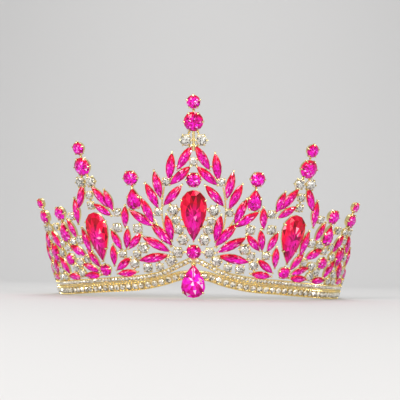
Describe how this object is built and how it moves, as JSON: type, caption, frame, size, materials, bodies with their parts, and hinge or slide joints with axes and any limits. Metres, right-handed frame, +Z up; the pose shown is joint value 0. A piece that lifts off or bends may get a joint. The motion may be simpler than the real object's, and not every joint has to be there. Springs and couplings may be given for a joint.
{
  "type": "tiara",
  "caption": "Peaked open-work tiara of gold alloy with pink and clear cut glass stones, a plain two-rail band with eyelets and a pear drop at the front.",
  "frame": {"origin": "on the surface that the tiara stands on, under the middle of its bounding box", "axes": "+Z up, -Y towards the front of the crown, +X to the right as seen from the front"},
  "size_m": [0.1842, 0.1264, 0.1026],
  "materials": {
    "gold_alloy": "polished gold plating; the small clear and pink stones set in it are of one piece with it",
    "pink_glass": "foil-backed cut glass, hot pink",
    "clear_glass": "foil-backed cut glass, clear"
  },
  "bodies": {
    "root": {"top_round": "pink_glass", "peak_round": "pink_glass", "middle_round": "pink_glass", "centre_pear": "pink_glass", "lower_round": "pink_glass", "peak_clear_right": "clear_glass", "peak_clear_left": "clear_glass", "upper_leaf_right": "pink_glass", "upper_leaf_left": "pink_glass", "outer_leaf_right": "pink_glass", "outer_leaf_left": "pink_glass", "lower_leaf_right": "pink_glass", "lower_leaf_left": "pink_glass", "fan_leaf_a_right": "pink_glass", "fan_leaf_a_left": "pink_glass", "fan_leaf_b_right": "pink_glass", "fan_leaf_b_left": "pink_glass", "fan_leaf_c_right": "pink_glass", "fan_leaf_c_left": "pink_glass", "bridge_round_right": "pink_glass", "bridge_round_left": "pink_glass", "bridge_pear_right": "pink_glass", "bridge_pear_left": "pink_glass", "field_round_right": "pink_glass", "field_round_left": "pink_glass", "side_top_round_right": "pink_glass", "side_top_round_left": "pink_glass", "side_peak_round_right": "pink_glass", "side_peak_round_left": "pink_glass", "side_pear_right": "pink_glass", "side_pear_left": "pink_glass", "outer_round_right": "pink_glass", "outer_round_left": "pink_glass", "outer_bridge_round_right": "pink_glass", "outer_bridge_round_left": "pink_glass", "outer_bridge_pear_right": "pink_glass", "outer_bridge_pear_left": "pink_glass", "end_top_round_right": "pink_glass", "end_top_round_left": "pink_glass", "end_peak_round_right": "pink_glass", "end_peak_round_left": "pink_glass", "end_pear_right": "pink_glass", "end_pear_left": "pink_glass", "drop_pear": "pink_glass", "crown_frame": "gold_alloy"}
  },
  "joints": []
}
